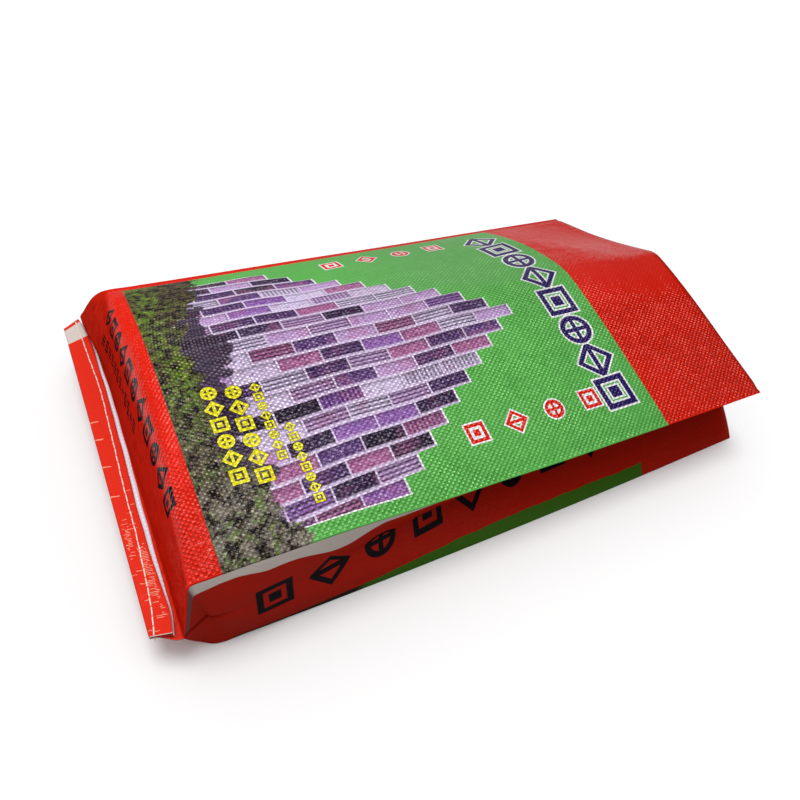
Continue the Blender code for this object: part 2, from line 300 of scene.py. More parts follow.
# The gusset on one side, from the front panel's edge to the back panel's, as a list of (points, width,
# shares of the width): crease, upper half, middle fold, lower half, foot crease. Near the seam both halves
# dart inwards along the diagonal from the seam's corner; past the dart's tip they are one soft crease
def gussetSide(v, far):
    side = -1.0 if far else 1.0
    w = np.array([1.0, 0.99] if far else [0.0, 0.01])
    top = frontPanel(v[:, None], w[None, :])
    foot = backPanel(v[:, None], w[None, :])
    topEdge, footEdge = top[:, 0], foot[:, 0]
    outTop, outFoot = unit(topEdge - top[:, 1]), unit(footEdge - foot[:, 1])
    topNormal = side * unit(np.cross(outTop, np.gradient(topEdge, v, axis=0)))
    footNormal = -side * unit(np.cross(outFoot, np.gradient(footEdge, v, axis=0)))
    opened = ease(v, 0.0, 0.02)[:, None]
    gap = sack["pitch"] + (sack["foldGap"] - sack["pitch"]) * opened
    topStart = topEdge - topNormal * gap + outTop * sack["foldOut"] * opened
    footStart = footEdge - footNormal * gap + outFoot * sack["foldOut"] * opened

    # the far side mirrors the near one, a little lower and with the far corner's lift
    def mirrored(spots):
        return spots * (1, side, 1) + (0, sack["farWidth"] if far else 0, 0)

    middle = mirrored(through(sack["innerFold"], v))
    foldAtTip = mirrored(through(sack["innerFold"], np.array([sack["dartCloth"]]))[0])
    tip = mirrored(np.array(sack["dartTip"]))
    corner = mirrored(np.array([sack["seamRun"], sack["seamNear"], sack["seamZ"]]))
    if far:
        lower = through(sack["farCrease"], middle[:, 0]) / through(sack["nearCrease"], middle[:, 0])
        keep = ease(v, 0.0, 0.06)
        middle[:, 2] *= 1 + (lower - 1) * keep
        middle[:, 2] += seamLift(seamShare(middle[:, 1])) * (1 - keep)
        corner[2] += sack["farSeamLift"]
    apart = unit(topEdge - footEdge)
    split = sack["pitch"] / 2 + sack["foldSplit"] * opened
    middleTop, middleFoot = middle + apart * split, middle - apart * split

    share = np.clip(v / sack["dartCloth"], 0, 1)[:, None]
    past = ease(v, sack["dartCloth"], 0.17)[:, None]
    dart = corner + (tip - corner) * share
    outwards = np.array([0.0, -side, 0.0])
    offTip = (tip - foldAtTip) * (1 - past)
    (upperShare, upperOut), (lowerShare, lowerOut) = sack["halfBends"]
    upperTurn = middle + ((topStart - middle) * upperShare + outwards * upperOut) * past + offTip
    lowerTurn = middle + ((footStart - middle) * lowerShare + outwards * lowerOut) * past + offTip
    inDart = (v < sack["dartCloth"])[:, None]
    upperTurn = np.where(inDart, dart, upperTurn) + apart * split * (1 - past)
    lowerTurn = np.where(inDart, dart, lowerTurn) - apart * split * (1 - past)

    tight, loose = sack["halfSoft"]
    soft = (tight + loose * ease(v, 0.05, 0.15))[:, None]
    half, turn = crowded(18, 0.6), np.linspace(0, 1, 7)
    pressed, free = sack["foldReach"]
    reach = pressed + (free - pressed) * opened
    creaseCloth, halfCloth, foldCloth = sack["gussetCloth"]
    fromTop, toFoot = unit(topStart - upperTurn), unit(footStart - lowerTurn)
    intoFold, outOfFold = unit(middleTop - upperTurn), unit(middleFoot - lowerTurn)
    return [
        (foldOver(topEdge, outTop, topStart, fromTop, reach, turn), creaseCloth, turn),
        (softStrip(topStart, upperTurn, middleTop, soft, half), halfCloth, half),
        (foldOver(middleTop, intoFold, middleFoot, outOfFold, 0.8 * reach, turn), foldCloth, turn),
        (softStrip(middleFoot, lowerTurn, footStart, soft, half), halfCloth, half),
        (foldOver(footStart, toFoot, footEdge, outFoot, reach, turn), creaseCloth, turn),
    ]


# All rings from the seam to the mouth: the front panel from near to far, the far gusset, the back
# panel from far to near and the near gusset; the last column joins the first
def tubeRings(v):
    w = crowded(90, 0.35)
    parts = [frontPanel(v[:, None], w[None, :])]
    around = [w * sack["panel"]]
    reached = sack["panel"]
    for points, width, share in gussetSide(v, True):
        parts.append(points[:, 1:])
        around.append(reached + width * share[1:])
        reached += width
    floorShare = 1 - crowded(44, 1.0)
    parts.append(backPanel(v[:, None], floorShare[None, 1:]))
    around.append(reached + (1 - floorShare[1:]) * sack["panel"])
    reached += sack["panel"]
    for points, width, share in reversed(gussetSide(v, False)):
        parts.append(points[:, ::-1][:, 1:])
        around.append(reached + width * (1 - share[::-1][1:]))
        reached += width
    ring = np.concatenate(parts, axis=1)
    return ring[:, :-1], np.concatenate(around)


# How far the hem has slid towards the far side: a + b w at its fold and at its cut edge, straight between
def hemShift(w, back, folded):
    atFold, atCut = (a + b * w for a, b in sack["hemSlide"])
    return atFold * back + (atCut - atFold) * folded


# How far the hem stands off its flat stack: its climb times w^4 at its fold, and at its cut edge its climb
# times w^12 and its opening times (1 - w)^9, which the lower two layers share by 0.15; the upper two ripple
def hemRise(w, back, folded, upperPair):
    climb = sack["hemClimb"]
    opened = sack["hemOpen"] * (1 - w) ** 9 * (0.15 + 0.85 * upperPair)
    ripple = sack["hemRipple"] * (1 + np.sin(31 * w + 0.6)) * upperPair
    return climb * w**4 * back + (opened + ripple + climb * w**12) * folded


# The hem: the flat stack of the seam's ring, carried back, round a half turn and forward again; a
# layer o above the stack's middle turns on the radius R - o, so the outer layers end short
def hemRings(ring):
    w = seamShare(ring[:, 1])
    lift = seamLift(w)
    o = ring[:, 2] - sack["seamZ"] - lift
    radius = sack["hemRadius"] - o
    flat = sack["seamRun"] - sack["hemTurnRun"]
    skew, turned = sack["hemSkew"]
    slid = skew + turned * w
    longest = ease(o, 0.8 * sack["pitch"], 1.2 * sack["pitch"])
    cutTop, cutLong = through(sack["cutTop"], w), through(sack["cutLong"], w)
    cut = cutTop + (cutLong - cutTop) * longest + sack["cutFray"] * np.sin(41 * w) * np.sin(13 * w + 1)
    rest = cut - slid - sack["hemTurnRun"]
    upper = np.linspace(1, 0, 11)[:, None]
    angle = np.linspace(math.pi, 0, 11)[1:-1, None]
    lower = np.linspace(1, 0, 9)[:-1, None]
    one = np.ones_like(o)
    run = np.concatenate([sack["hemTurnRun"] + rest * upper,
                          sack["hemTurnRun"] - radius * np.sin(angle),
                          sack["seamRun"] - flat * lower * one])
    height = np.concatenate([sack["seamZ"] + 2 * sack["hemRadius"] - o + 0 * upper,
                             sack["seamZ"] + sack["hemRadius"] - radius * np.cos(angle),
                             sack["seamZ"] + o + 0 * lower])
    fromSeam = np.concatenate([flat + math.pi * radius + rest * upper,
                               flat + radius * angle,
                               flat * lower * one])
    folded = np.concatenate([upper * one, 0 * angle * one, 0 * lower * one])
    back = ease(fromSeam, 0, flat)
    across = ring[:, 1] + hemShift(w, back, folded)
    run = run + slid * back
    height = height + lift + hemRise(w, back, folded, ease(-o, -0.0003, 0.0003))
    return np.stack([run, across, height], axis=-1), fromSeam


# Metres of cloth from the seam at each ring, closer together at the seam and over the sewn end
def clothRows():
    seam = np.array([0.0, 0.0006, 0.0012, 0.0020, 0.0032, 0.005, 0.0075])
    end = np.linspace(0.0105, 0.150, 52)
    body = np.linspace(0.150, sack["clothLength"], 84)[1:]
    return np.concatenate([seam, end, body])


# Points (rows, columns, 3) of the whole cloth, the metres round the tube at each column and once more at
# the end, and the metres from the seam, which are negative in the hem
def clothSurface():
    v = clothRows()
    tube, around = tubeRings(v)
    hem, fromSeam = hemRings(tube[0])
    points = np.concatenate([hem, tube])
    lengths = np.concatenate([-fromSeam, v[:, None] + 0 * tube[..., 0]])
    return points, around, lengths


points, around, lengths = clothSurface()
print("cloth surface:", points.shape[0], "rings of", points.shape[1], "points")


# Grid (rows, columns, 3) to a mesh that closes round its columns and, where capped, over both ends, with UV
# maps given as u (rows, columns + 1) and v (rows, columns) in metres
def ringMesh(name, grid, maps, capped=False):
    rows, columns = grid.shape[:2]
    i, j = np.meshgrid(np.arange(rows - 1), np.arange(columns), indexing="ij")
    after = (j + 1) % columns
    quads = [i * columns + j, (i + 1) * columns + j, (i + 1) * columns + after, i * columns + after]
    faces = np.stack(quads, -1).reshape(-1, 4).tolist()
    capCorners = np.zeros((2 * columns if capped else 0, 2))
    if capped:
        faces += [list(range(columns)), [(rows - 1) * columns + k for k in reversed(range(columns))]]
    mesh = bpy.data.meshes.new(name)
    mesh.from_pydata(grid.reshape(-1, 3), [], faces)
    for label, (u, v) in maps.items():
        corners = np.stack([
            np.stack([u[i, j], v[i, j]], -1),
            np.stack([u[i + 1, j], v[i + 1, j]], -1),
            np.stack([u[i + 1, j + 1], v[i + 1, after]], -1),
            np.stack([u[i, j + 1], v[i, after]], -1),
        ], axis=2).reshape(-1, 2)
        flat = np.concatenate([corners, capCorners]).astype(np.float32).ravel()
        mesh.uv_layers.new(name=label).data.foreach_set("uv", flat)
    mesh.shade_smooth()
    made = bpy.data.objects.new(name, mesh)
    bpy.context.scene.collection.objects.link(made)
    return made


# A value on a shader socket. + - * and comparisons with > < add Math nodes, in either order, and / with the
# value first
class Wire:
    def __init__(self, socket):
        self.socket = socket
        self.tree = socket.id_data

    # adds any node: its settings first, then the values or links of its sockets
    def node(self, kind, settings=None, sockets=None, out=0):
        made = self.tree.nodes.new(kind)
        for key, value in (settings or {}).items():
            setattr(made, key, value)
        for key, value in (sockets or {}).items():
            if isinstance(value, Wire):
                self.tree.links.new(value.socket, made.inputs[key])
            else:
                made.inputs[key].default_value = value
        return Wire(made.outputs[out])

    # links this value to a socket of a shader or of the output
    def into(self, shader, name):
        self.tree.links.new(self.socket, shader.inputs[name])

    def math(self, operation, *values):
        return self.node("ShaderNodeMath", {"operation": operation}, dict(enumerate(values)))

    def __add__(self, other):
        return self.math("ADD", self, other)

    def __sub__(self, other):
        return self.math("SUBTRACT", self, other)

    def __rsub__(self, other):
        return self.math("SUBTRACT", other, self)

    def __mul__(self, other):
        return self.math("MULTIPLY", self, other)

    def __truediv__(self, other):
        return self.math("DIVIDE", self, other)

    def __neg__(self):
        return self.math("MULTIPLY", self, -1.0)

    def __gt__(self, other):
        return self.math("GREATER_THAN", self, other)

    def __lt__(self, other):
        return self.math("LESS_THAN", self, other)

    __radd__ = __add__
    __rmul__ = __mul__

    def size(self):
        return self.math("ABSOLUTE", self)

    def part(self):
        return self.math("FRACT", self)

    def whole(self):
        return self.math("FLOOR", self)

    def sine(self):
        return self.math("SINE", self)

    def root(self):
        return self.math("SQRT", self)

    def least(self, other):
        return self.math("MINIMUM", self, other)

    def most(self, other):
        return self.math("MAXIMUM", self, other)

    # 0 at low, 1 at high, smooth between
    def ramp(self, low, high):
        return self.node("ShaderNodeMapRange", {"interpolation_type": "SMOOTHSTEP"},
                         {"Value": self, "From Min": low, "From Max": high})

    # 1 where the value is below zero, with an edge "soft" metres wide
    def inside(self, soft=0.0005):
        return self.ramp(soft / 2, -soft / 2)

    # 1 between low and high
    def between(self, low, high, soft=0.0005):
        return self.ramp(low - soft / 2, low + soft / 2) * self.ramp(high + soft / 2, high - soft / 2)

    # a colour ramp without blending: stops of (share, colour)
    def steps(self, stops):
        made = self.tree.nodes.new("ShaderNodeValToRGB")
        made.color_ramp.interpolation = "CONSTANT"
        while len(made.color_ramp.elements) < len(stops):
            made.color_ramp.elements.new(1.0)
        for element, (at, shade) in zip(made.color_ramp.elements, stops):
            element.position = at
            element.color = shade
        self.tree.links.new(self.socket, made.inputs[0])
        return Wire(made.outputs[0])

    # this colour, going over to the other one where the mask is 1
    def over(self, mask, other):
        return mixed(mask, self, other)

    # this colour times the other one, or with it added, by as much as the mask
    def blend(self, kind, mask, other):
        return mixed(mask, self, other, kind)


# A colour going over from below to above by a mask, or the same with another of the Mix node's kinds
def mixed(mask, below, above, kind="MIX"):
    sockets = {0: mask, 6: below, 7: above}
    return mask.node("ShaderNodeMix", {"data_type": "RGBA", "blend_type": kind}, sockets, 2)


# A place on a pattern from its two coordinates
def spotAt(a, b):
    return a.node("ShaderNodeCombineXYZ", sockets={0: a, 1: b})


# Smooth noise over a place, 0 to 1 round 0.5
def noiseAt(place, scale, detail=3.0, roughness=0.6):
    return place.node("ShaderNodeTexNoise", {"noise_dimensions": "2D"},
                      {"Vector": place, "Scale": scale, "Detail": detail, "Roughness": roughness})


# The same along one coordinate
def noiseAlong(value, scale, detail):
    return value.node("ShaderNodeTexNoise", {"noise_dimensions": "1D"},
                      {"W": value, "Scale": scale, "Detail": detail})


# The same random number for each whole number
def drawOf(whole, salt=0.0):
    return whole.node("ShaderNodeTexWhiteNoise", {"noise_dimensions": "1D"}, {"W": whole + salt})


# The same random number for each pair of whole numbers
def drawOfPair(a, b):
    return a.node("ShaderNodeTexWhiteNoise", {"noise_dimensions": "2D"}, {"Vector": spotAt(a, b)})


# A bump of the normal, by a height in units of so many metres
def bumpOf(height, metres):
    return height.node("ShaderNodeBump", sockets={"Strength": 1.0, "Distance": metres, "Height": height})


# sRGB 0 to 255 to the linear colour of a shader socket, scaled to the light of the set
def ink(red, green, blue, light=1.0):
    share = np.array([red, green, blue]) / 255
    linear = np.where(share <= 0.04045, share / 12.92, ((share + 0.055) / 1.055) ** 2.4)
    return (*(linear * light), 1.0)


# A material and its shader, with the sockets named here set: an underscore stands for a space
def newMaterial(name, **sockets):
    made = bpy.data.materials.new(name)
    made.use_nodes = True
    shader = made.node_tree.nodes["Principled BSDF"]
    for key, value in sockets.items():
        shader.inputs[key.replace("_", " ")].default_value = value
    return made, shader


# The two coordinates of one of the piece's UV maps
def uvOf(tree, name):
    reader = tree.nodes.new("ShaderNodeUVMap")
    reader.uv_map = name
    split = tree.nodes.new("ShaderNodeSeparateXYZ")
    tree.links.new(reader.outputs[0], split.inputs[0])
    return Wire(split.outputs[0]), Wire(split.outputs[1])


# The print, in metres: x runs from the seam to the mouth and y across a panel, from its near edge
printed = {
    "field": (0.092, 0.562),  # x of the green field on each panel
    "farMargin": 0.387,  # red beyond this y
    # rows of marks: (place of the row, start of the first, pitch, count, half width, line width)
    "mouthMarks": (0.525, 0.031, 0.0412, 8, 0.0155, 0.0062),
    "fieldMarks": [(0.052, 0.330, 0.046, 4, 0.0085, 0.0038), (0.352, 0.300, 0.046, 4, 0.0085, 0.0038)],
    "endMarks": (0.066, 0.066, 0.0262, 11, 0.0076, 0.0042),
    "gussetMarks": (0.105, 0.052, 9, 0.0135, 0.0062),
    "gussetRows": (0.047, 0.0105, 0.051),  # the near gusset's row at the seam, its gain, the far one's row
    "endBars": (0.038, 0.190, 0.0125, 12, 0.0085, 0.0085),  # the last two are the bars' length and width
    "yellowMarks": [(0.129, 0.067, 6, 0.0059), (0.150, 0.062, 6, 0.0059), (0.170, 0.080, 8, 0.0035),
                    (0.186, 0.030, 8, 0.0035)],  # (row, start, count, half width)
    # bare strip above the near gusset's print: (x where it starts to change, where it stops, gain)
    "margin": [(0.0, 0.064, 0.005), (0.066, 0.090, -0.0025), (0.10, 0.13, 0.0055), (0.15, 0.194, 0.0105),
               (0.196, 0.24, -0.0170), (0.24, 0.31, -0.0095)],
    "marginStart": 0.008,  # its width at the seam, and x where it stops
    "marginStop": 0.31,
    "strip": (0.0025, 0.0115),  # the back panel's print on the near gusset: its first width, and its gain
    "wrap": 0.0022,  # metres before the end of the tube's round from which the front's print shows
    "backBare": (0.004, 0.026, 0.12),  # bare strip of the back panel: from, to, and x where it stops
    "tape": (0.0025, 0.00305),  # woven tapes: pitch round the tube and along it
    "turn": (-0.004, 0.028),  # run over which the print's x passes from the sewn end's to the body's
    "light": 0.5,  # share of the photographed colour that the set's light needs
    "red": (230, 34, 14),
    # the gussets' red, and below their green and earth, are darker copies of the panels' inks: painted
    # shade
    "gussetShadeRed": (180, 32, 17),
    "scar": (250, 190, 160),
    # grey veil painted over the far side: painted reflection of the bright room
    "farSheen": (118, 112, 116),
    "green": (96, 184, 84),
    "gussetShadeGreen": (63, 108, 28),
    "gussetShadeEarth": (44, 34, 22),
    "earth": (100, 86, 60),
    "moss": (96, 124, 36),
    "leaf": (158, 168, 66),
    "stone": (186, 180, 168),
    "scree": (146, 142, 130),
    "plum": (46, 30, 54),
    "black": (26, 20, 24),
    "navy": (44, 28, 100),
    "yellow": (246, 236, 30),
    "white": (255, 255, 255),
    "bare": (218, 206, 198),
    # a darker copy of bare for the strip on the sewn end: painted shade
    "bareEndShade": (124, 76, 76),
    "blockPale": (228, 210, 242),
    "blockDark": (38, 26, 48),
    "blockRose": (180, 108, 158),
}


# One of the print's inks in the light of the set
def printInk(name):
    return ink(*printed[name], light=printed["light"])


# Two of the print's inks by a mask
def mixInk(mask, below, above):
    return mixed(mask, printInk(below), printInk(above))


# Marks printed over a colour, with a rim of another ink round them
def rimmed(colour, marks, shade, rimShade, rim, rimShare=1.0):
    colour = colour.over((marks - rim).inside() * rimShare, printInk(rimShade))
    return colour.over(marks.inside(), printInk(shade))


# Distance to a row of marks, pitch apart along y from "first", "count" of them, each r in half width with
# lines "stroke" wide: in turn a square round a dot, a diamond round a bar and a ring round a cross
def markRow(x, y, row, first, pitch, count, r, stroke):
    place = (y - first) / pitch
    cell = place.whole()
    dy = (place - cell - 0.5) * pitch
    dx = x - row
    wide, narrow = dx.size().most(dy.size()), dx.size().least(dy.size())
    slant = (dx.size() + dy.size()) * 0.8
    circle = (dx * dx + dy * dy).root()

    def framed(distance, core):
        return ((distance - r).size() - stroke / 2).least(core)

    squares = framed(wide, wide - r * 0.42)
    diamonds = framed(slant, (dx.size() - stroke * 0.45).most(dy.size() - r))
    rings = framed(circle, (narrow - stroke * 0.4).most(wide - r))
    turn = (cell / 3.0).part()
    second, third = (turn > 0.2) * (turn < 0.5), turn > 0.5
    drawn = squares * (1 - second - third) + diamonds * second + rings * third
    return drawn.most((first - y).most(y - (first + pitch * count)) * 20)  # a hard cut at both ends


# Distance to a row of solid bars of uneven length along x, "wide" long across y
def barRow(x, y, row, first, pitch, count, thick, wide):
    place = (y - first) / pitch
    cell = place.whole()
    dy = (place - cell - 0.5) * pitch
    dx = x - row
    bar = (dy.size() - wide / 2).most(dx.size() - (drawOf(cell) * 0.5 + 0.5) * thick)
    gap = 0.0009 - (dx.size() - thick * 0.3).size()
    return bar.most(gap).most((first - y).most(y - (first + pitch * count)))


# The masonry picture on each panel
wall = {
    "course": 0.0185,  # mean height of a course, and length of a block
    "block": 0.044,
    "fan": (0.2, 0.91, 0.6),  # y they draw together to, how close they lie at x = 0, its gain per metre
    "start": 0.114,  # x of its foot, and of its tip in the middle course
    "tip": 0.490,
    "step": 0.0210,  # how far each course falls short of the one nearer to the middle
    "middle": 9.0,
    "sides": (0.014, 0.362),  # y
    # block colours in order of a random draw: (share of the range, colour)
    "blocks": [(0.0, (58, 34, 78)), (0.16, (150, 100, 180)), (0.3, (196, 160, 212)),
               (0.46, (92, 56, 120)), (0.58, (218, 202, 236)), (0.7, (172, 100, 150)),
               (0.84, (40, 28, 52)), (0.93, (134, 84, 166))],
}


# Running bond whose courses draw together towards the mouth, each block split or scored and lit from one
# side; returns (colour, distance to its stepped outline)
def masonry(x, y, spot):
    height, length = wall["course"], wall["block"]
    centre, close, gain = wall["fan"]
    fanned = (y - centre) * (x * gain + close) + centre
    course = (fanned / height).whole()
    inCourse = fanned / height - course
    lot, other = drawOf(course), drawOf(course, 0.37)
    shift = (course * 0.5).part()
    along = x / length + shift
    block = along.whole()
    inBlock = along - block
    draw = drawOfPair(course, block)
    stops = [(at, ink(*shade, light=printed["light"])) for at, shade in wall["blocks"]]
    colour = (lot * 0.5 + draw * 0.5).steps(stops)

    # split face: mottled stone; scored face: dark grooves along it; ribbed face: dark ribs across it
    grain, broad = noiseAt(spot, 230.0, 4.0, 0.72), noiseAt(spot, 30.0)
    pale, dark = printInk("blockPale"), printInk("blockDark")
    colour = colour.over(grain.ramp(0.5, 0.72) * 0.42, pale)
    colour = colour.over(grain.ramp(0.47, 0.3) * 0.55, dark)
    colour = colour.over(broad.ramp(0.5, 0.75) * 0.5, printInk("blockRose"))
    scored = (draw * 3.0 + other).part() > 0.62
    grooves = ((inCourse * 4.0).part() - 0.5).size().ramp(0.2, 0.3) * scored
    colour = colour.over(grooves * 0.75, dark)
    ribbed = (draw * 7.0).part() > 0.8
    ribs = ((inBlock * 10.0).part() - 0.5).size().ramp(0.2, 0.3) * ribbed * (1 - scored)
    colour = colour.over(ribs * 0.6, dark)

    # a lit upper edge, a shaded lower one and a pale joint round each block
    colour = colour.over(inCourse.ramp(0.6, 1.0) * 0.55, dark)
    colour = colour.over(inCourse.ramp(0.22, 0.08) * 0.75, pale)
    colour = colour.over(inBlock.ramp(0.9, 1.0) * 0.5, dark)
    joint = (0.5 - (inCourse - 0.5).size()) * height
    end = (0.5 - (inBlock - 0.5).size()) * length
    colour = colour.over((joint.least(end) - 0.0009).inside(0.0006) * 0.9, pale)

    # the outline steps back by whole blocks, so that the bond shows at its edge
    reach = wall["tip"] - (course - wall["middle"]).size() * wall["step"]
    reach = ((reach / length + shift).whole() - shift) * length
    near, far = wall["sides"]
    return colour, (wall["start"] - x).most(x - reach).most(near - y).most(y - far)


# The planted bank: dark earth, moss in drifts along both its edges, pale stones and grey-violet scree
def earthBank(x, y, spot, coarse, fine):
    leaves = noiseAt(spot, 90.0, 5.0, 0.8)
    earth = mixInk((fine * 0.5 + leaves * 0.5).ramp(0.42, 0.6), "black", "earth")
    scree = y.ramp(0.15, 0.02) * 0.75 + x.ramp(0.16, 0.2) * 0.3
    earth = earth.over(scree * leaves.ramp(0.42, 0.6), printInk("scree"))
    nearBand = (x - 0.105 - (coarse - 0.5) * 0.05).size().ramp(0.026, 0.0) * y.ramp(0.1, 0.16)
    drifts = nearBand.most((coarse - 0.5).size().ramp(0.035, 0.005) * 0.8)
    earth = earth.over(drifts * leaves.ramp(0.44, 0.58), printInk("moss"))
    earth = earth.over(drifts * (leaves * 0.6 + fine * 0.4).ramp(0.56, 0.64) * 0.8, printInk("leaf"))
    return earth.over(fine.ramp(0.63, 0.69) * y.ramp(0.33, 0.26) * 0.8, printInk("stone"))


# One printed panel: red ends, green field, earth bank, masonry and rows of plain marks
def panelPrint(x, y):
    spot = spotAt(x, y)
    coarse = noiseAt(spot, 22.0, 4.0)
    fine = noiseAt(spot, 150.0, 5.0, 0.75)
    start, stop = printed["field"]
    colour = mixInk(x.between(start, stop), "red", "green")

    # masonry with a white outline, a plum shade at its foot, and the bank before it
    blocks, outline = masonry(x, y, spot)
    outline = outline + (fine - 0.5) * 0.0016
    colour = colour.over((outline - 0.0012).inside(), printInk("white"))
    colour = colour.over(outline.inside(), blocks)
    under = (x - 0.152 - (coarse - 0.5) * 0.08).most(y - 0.372 - (coarse - 0.5) * 0.02)
    colour = colour.over((start - x).most(under).inside(0.004) * 0.92, printInk("plum"))
    bankEnd = 0.122 + (coarse - 0.5) * 0.07 + (fine - 0.5) * 0.035
    bankEnd = bankEnd + y.ramp(0.22, 0.38) * 0.045 + y.ramp(0.13, 0.03) * 0.04
    bank = (start - x).most(x - bankEnd).inside(0.0015)
    colour = colour.over(bank, earthBank(x, y, spot, coarse, fine))

    # a large row by the mouth, four marks along each long side of the field and, over the masonry's near
    # end, two columns of yellow marks with two small ones beside them
    colour = rimmed(colour, markRow(x, y, *printed["mouthMarks"]), "navy", "white", 0.002)
    for row in printed["fieldMarks"]:
        colour = rimmed(colour, markRow(y, x, *row), "red", "white", 0.0016)
    for row, first, count, r in printed["yellowMarks"]:
        marks = markRow(x, y, row, first, 3.05 * r, count, r, 0.52 * r)
        colour = rimmed(colour, marks, "yellow", "plum", 0.0007, 0.6)

    # black marks on the red end band: one row of bold marks and one of short bars
    black = markRow(x, y, *printed["endMarks"]).least(barRow(x, y, *printed["endBars"]))
    colour = colour.over(black.inside(), printInk("black"))
    return colour.over((printed["farMargin"] - y).inside(0.0006), printInk("red"))


# The whole tube's print: u metres round it and x metres along it
def tubePrint(u, x):
    panel, gusset = sack["panel"], sack["gusset"]
    backFrom, nearFrom = panel + gusset, 2 * panel + gusset
    girth = 2 * (panel + gusset)
    wrapped = u > girth - printed["wrap"]
    y = u - (u > backFrom - 0.001) * backFrom - wrapped * (girth - backFrom)
    panels = panelPrint(x, y)

    # both gussets: red with one row of black marks, and bare in the hem; their red is a darker copy of the
    # panels' red, painted shade
    wobble = noiseAlong(x, 24.0, 1.0)
    up = u - nearFrom
    nearRow, gain, farRow = printed["gussetRows"]
    nearMarks = markRow(up, x, x.ramp(0.05, 0.62) * gain + nearRow, *printed["gussetMarks"])
    farMarks = markRow(u - panel, x, farRow, *printed["gussetMarks"])
    side = mixInk(nearMarks.least(farMarks).inside(), "gussetShadeRed", "black").over(x < 0.0, printInk("bare"))

    # the near one has the back panel's print crept over its lower crease and is bare along its upper one
    start, stop = printed["field"]
    first, gain = printed["strip"]
    strip = x.ramp(0.06, 0.36) * gain + first + (wobble - 0.5) * 0.003
    # the crept print takes darker copies of the earth and green inks: painted shade
    crept = mixInk(x.ramp(0.205, 0.222), "gussetShadeEarth", "gussetShadeGreen")
    side = side.over((up - strip).inside() * x.between(start, stop) * (up > 0.0), crept)
    bare = (wobble - 0.5) * x.between(0.08, 0.26, 0.03) * 0.003 + printed["marginStart"]
    for low, high, gained in printed["margin"]:
        bare = bare + x.ramp(low, high) * gained
    above = (gusset - up - bare).inside() * (x < printed["marginStop"])
    # on the sewn end the bare strip takes a darker colour: painted shade
    side = side.over(above, mixInk(x.ramp(0.058, 0.07), "bareEndShade", "bare"))
    onGusset = ((u > panel) * (u < backFrom)).most((u > nearFrom) * (1 - wrapped))
    colour = panels.over(onGusset, side)

    # bare strip along the back panel's far edge, seen where the hem folds over
    low, high, until = printed["backBare"]
    return colour.over((u - backFrom).between(low, high) * (x < until), printInk("bare"))


# Plain weave as (height, crest): the height sin(pi u / tape) sin(pi v / tape) rises where the lengthwise
# tapes lie on top and falls where the others do. The crest is 1 on the top of each lengthwise arch, where
# it is |a| (2 - |a|) |b| of the two sines, and 0.3 at most on the tapes round the tube, drawn tight
def weave(u, v):
    roundTape, longTape = printed["tape"]
    a, b = (u * (math.pi / roundTape)).sine(), (v * (math.pi / longTape)).sine()
    height = a * b
    wide, long = a.size(), b.size()
    across = wide * (2 - wide) * long
    aside = long * (2 - long) * wide * 0.3
    return height, aside + (across - aside) * (height > 0.0)


# Pale cracks in the flap's film
cracks = {
    "fold": 0.0262,  # metres of cloth from the seam to the hem's fold
    "dash": (0.0017, 0.0052),  # short cracks: spacing round the tube, length along it
    "long": (0.1525, 0.1905, 0.2275, 0.2525),  # four long ones, metres from the flap's near end
}


# Short dashes, dense by the flap's near end, and the long cracks across it; "out" is metres of cloth from
# the hem's fold towards the flap's cut edge
def flapScars(across, along):
    fromNear = 2 * sack["panel"] + sack["gusset"] - across
    out = -along - cracks["fold"]
    spacing, length = cracks["dash"]
    draw = drawOfPair((across / spacing).whole(), (along / length).whole())
    bent = noiseAt(spotAt(across, along), 300.0, 2.0)
    patches = noiseAlong(across, 60.0, 2.0)
    line = ((across / spacing).part() - 0.5 + (bent - 0.5) * 0.9).size().ramp(0.2, 0.08)
    pastStitch = out.between(0.0105, 0.0175, 0.0015) * fromNear.between(0.018, 0.095, 0.02)
    beforeStitch = out.between(0.003, 0.0085, 0.002) * fromNear.between(0.075, 0.118, 0.02)
    dense = pastStitch * 0.85 * patches.ramp(0.25, 0.5) + beforeStitch * 0.45
    dense = dense + fromNear.ramp(0.2, 0.02) * 0.07
    found = line * (draw < dense) * bent.ramp(0.33, 0.45) * out.between(0.0, 0.019, 0.001)
    slanted = fromNear + out * 0.2 + (bent - 0.5) * 0.002
    for place in cracks["long"]:
        crack = (slanted - place).size().ramp(0.0009, 0.0003) * out.between(-0.0005, 0.0085, 0.001)
        found = found.most(crack * 0.8)
    return found * (along < 0.0)


# The printed film over the weave
film = {
    "tint": 0.14,  # Metallic of the glossy shader, which gives the glints the ink's colour
    "rough": (0.12, 0.12),  # its least, and what wear adds
    "dullRough": 0.6,
    "coatRough": 0.12,
    "farCoat": 0.14,  # coat on the far slope of the front panel
    "depth": 0.00075,  # metres of relief for a height of 1
    "crease": 0.8,  # heights of the creases, the crinkles and the sewn end's fibres
    "crinkle": 2.4,
    "fibre": 1.8,
    "hollowShadeInk": (0.3, 0.25, 0.25, 1.0),  # painted shade: the ink is multiplied by this in the weave's hollows and along the slope's fibres
    "glintInk": (0.09, 0.08, 0.06, 1.0),  # painted glints: and has this added on the crests
    "slopeShadeInk": (0.72, 0.88, 0.88, 1.0),  # painted shade: and is multiplied by this on the sewn end's slope
    "farSheen": 0.2,  # shares of the painted reflection on the far side and of the scars' ink on the flap
    "flapPale": 0.03,
    "bareHollowShade": (196, 190, 198, 0.72),  # the unprinted side between its crests, darkened as painted shade, and on them, with the light
    "barePale": (224, 218, 224, 0.72),
    "bareDepth": 0.00014,
}


